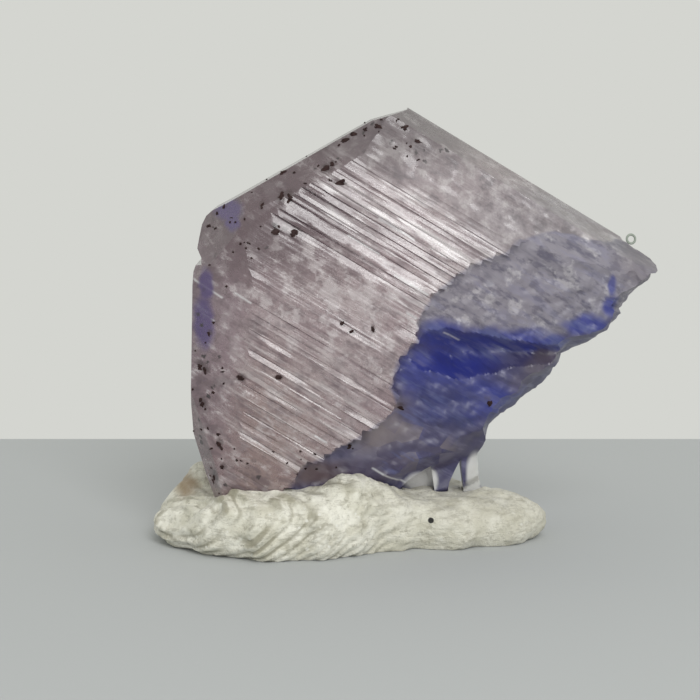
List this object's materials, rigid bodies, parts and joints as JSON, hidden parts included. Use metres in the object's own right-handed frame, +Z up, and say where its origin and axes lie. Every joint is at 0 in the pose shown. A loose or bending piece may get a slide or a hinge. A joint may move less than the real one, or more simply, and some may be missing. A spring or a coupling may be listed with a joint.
{
  "type": "rough tanzanite crystal on mounting putty",
  "caption": "Rough gem crystal, a flat striated prism with a chisel end and a broken blue end, standing on edge in a low pressed pad of mounting putty.",
  "frame": {"origin": "middle of the specimen's box at the level of the putty's flat base", "axes": "+X to the right along the specimen's length, -Y towards the viewer of its broad front face, +Z up"},
  "size_m": [0.0208, 0.01, 0.0179],
  "materials": {
    "tanzanite": "translucent pale mauve crystal, striated and vitreous, deep blue where it is broken",
    "putty": "off-white putty with a faint sheen, pressed and fingerprinted"
  },
  "bodies": {
    "root": {"tanzanite_crystal": "tanzanite", "mounting_putty": "putty"}
  },
  "joints": []
}
